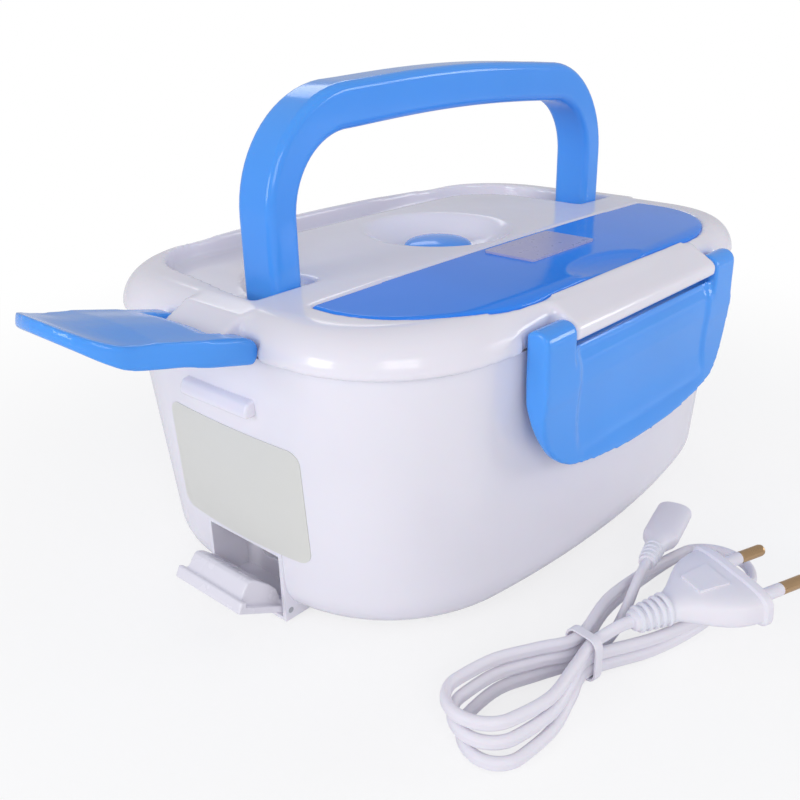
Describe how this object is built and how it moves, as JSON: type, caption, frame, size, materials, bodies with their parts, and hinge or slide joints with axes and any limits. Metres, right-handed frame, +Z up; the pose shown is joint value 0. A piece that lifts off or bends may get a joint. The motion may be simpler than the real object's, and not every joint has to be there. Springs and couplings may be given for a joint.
{
  "type": "electric lunch box",
  "caption": "Electric lunch box: clip-on lid with side latches, folding handle, spoon compartment and vent plug, inner tub with a steel tray and side box, and a mains lead folded beside it.",
  "frame": {"origin": "on the surface that it stands on, under the middle of the body, at the middle foot's face", "axes": "+X along the length, away from the power inlet; -Y towards the side with the spoon compartment; +Z up"},
  "size_m": [0.2985, 0.2363, 0.1641],
  "materials": {
    "body_white": "glossy white with a faint lilac cast",
    "clip_blue": "glossy sky blue",
    "screw_steel": "plain steel",
    "foot_rubber": "matte",
    "tub_grey": "satin",
    "plate_aluminium": "bare cast and machined",
    "heater_body": "dull",
    "black_plastic": "matte",
    "wire_red": "insulated wire",
    "blank_label": "plain film with nothing printed on it",
    "tray_steel": "satin stainless steel",
    "box_plastic": "satin",
    "box_lid_plastic": "glossy pale blue",
    "seal_rubber": "soft silicone",
    "cord_white": "soft white plastic",
    "pin_brass": "nickel over brass"
  },
  "bodies": {
    "base": {"housing": "body_white", "base_cover": "body_white", "base_screws": "screw_steel", "feet": "foot_rubber", "inner_tub": "tub_grey", "tub_screws": "screw_steel", "heating_plate": "plate_aluminium", "heater_element": "heater_body", "heater_clamp": "screw_steel", "clamp_screws": "screw_steel", "thermostat": "black_plastic", "thermal_fuse": "screw_steel", "wiring": "wire_red", "inlet_cup": "body_white", "inlet_socket": "black_plastic", "inlet_pins": "screw_steel", "flap_pin": "screw_steel", "side_label": "blank_label", "cord_hank": "cord_white", "cord_tail": "cord_white", "cord_tie": "cord_white", "plug": "cord_white", "plug_pins": "pin_brass", "connector": "cord_white"},
    "flap": {"inlet_flap": "body_white"},
    "tray": {"food_tray": "tray_steel"},
    "small_box": {"side_box": "box_plastic"},
    "small_box_lid": {"side_box_lid": "box_lid_plastic"},
    "lid": {"lid_shell": "body_white", "lid_liner": "tub_grey", "lid_seal": "seal_rubber", "handle_pins": "screw_steel"},
    "vent": {"vent_plug": "clip_blue"},
    "cover": {"spoon_cover": "clip_blue", "cover_label": "blank_label"},
    "cutlery": {"spoon": "tray_steel"},
    "carry_handle": {"handle": "clip_blue"},
    "front_latch": {"latch_front": "clip_blue"},
    "back_latch": {"latch_back": "clip_blue"},
    "left_latch": {"latch_left": "clip_blue"},
    "right_latch": {"latch_right": "clip_blue"}
  },
  "joints": [
    {"name": "lid_lift", "type": "slide", "parent": "base", "child": "lid", "axis": [0, 0, 1], "range_m": [0, 0.1]},
    {"name": "tray_lift", "type": "slide", "parent": "base", "child": "tray", "axis": [0, 0, 1], "range_m": [0, 0.045]},
    {"name": "box_lift", "type": "slide", "parent": "tray", "child": "small_box", "axis": [0, 0, 1], "range_m": [0, 0.03]},
    {"name": "box_lid_lift", "type": "slide", "parent": "small_box", "child": "small_box_lid", "axis": [0, 0, 1], "range_m": [0, 0.02]},
    {"name": "handle_fold", "type": "hinge", "parent": "lid", "child": "carry_handle", "pos_m": [0, 0.0016, 0.0985], "axis": [-1, 0, 0], "range_deg": [0, 84]},
    {"name": "latch_front_swing", "type": "hinge", "parent": "lid", "child": "front_latch", "pos_m": [0, -0.0798, 0.0946], "axis": [-1, 0, 0], "range_deg": [0, 105]},
    {"name": "latch_back_swing", "type": "hinge", "parent": "lid", "child": "back_latch", "pos_m": [0, 0.0798, 0.0946], "axis": [1, 0, 0], "range_deg": [0, 105]},
    {"name": "latch_left_swing", "type": "hinge", "parent": "lid", "child": "left_latch", "pos_m": [-0.117, 0, 0.0946], "axis": [0, 1, 0], "range_deg": [-103, 2]},
    {"name": "latch_right_swing", "type": "hinge", "parent": "lid", "child": "right_latch", "pos_m": [0.117, 0, 0.0946], "axis": [0, -1, 0], "range_deg": [0, 105]},
    {"name": "flap_swing", "type": "hinge", "parent": "base", "child": "flap", "pos_m": [-0.108, -0.002, 0.0042], "axis": [0, 1, 0], "range_deg": [-20, 63]},
    {"name": "vent_pull", "type": "slide", "parent": "lid", "child": "vent", "axis": [0, 0, 1], "range_m": [0, 0.006]},
    {"name": "cover_lift", "type": "slide", "parent": "lid", "child": "cover", "axis": [0, 0, 1], "range_m": [0, 0.035]},
    {"name": "spoon_lift", "type": "slide", "parent": "lid", "child": "cutlery", "axis": [0, 0, 1], "range_m": [0, 0.0175]}
  ],
  "couplings": [
    {"joint": "tray_lift", "follows": "lid_lift", "ratio": 0.45},
    {"joint": "box_lift", "follows": "lid_lift", "ratio": 0.3},
    {"joint": "box_lid_lift", "follows": "lid_lift", "ratio": 0.2},
    {"joint": "spoon_lift", "follows": "cover_lift", "ratio": 0.5}
  ]
}
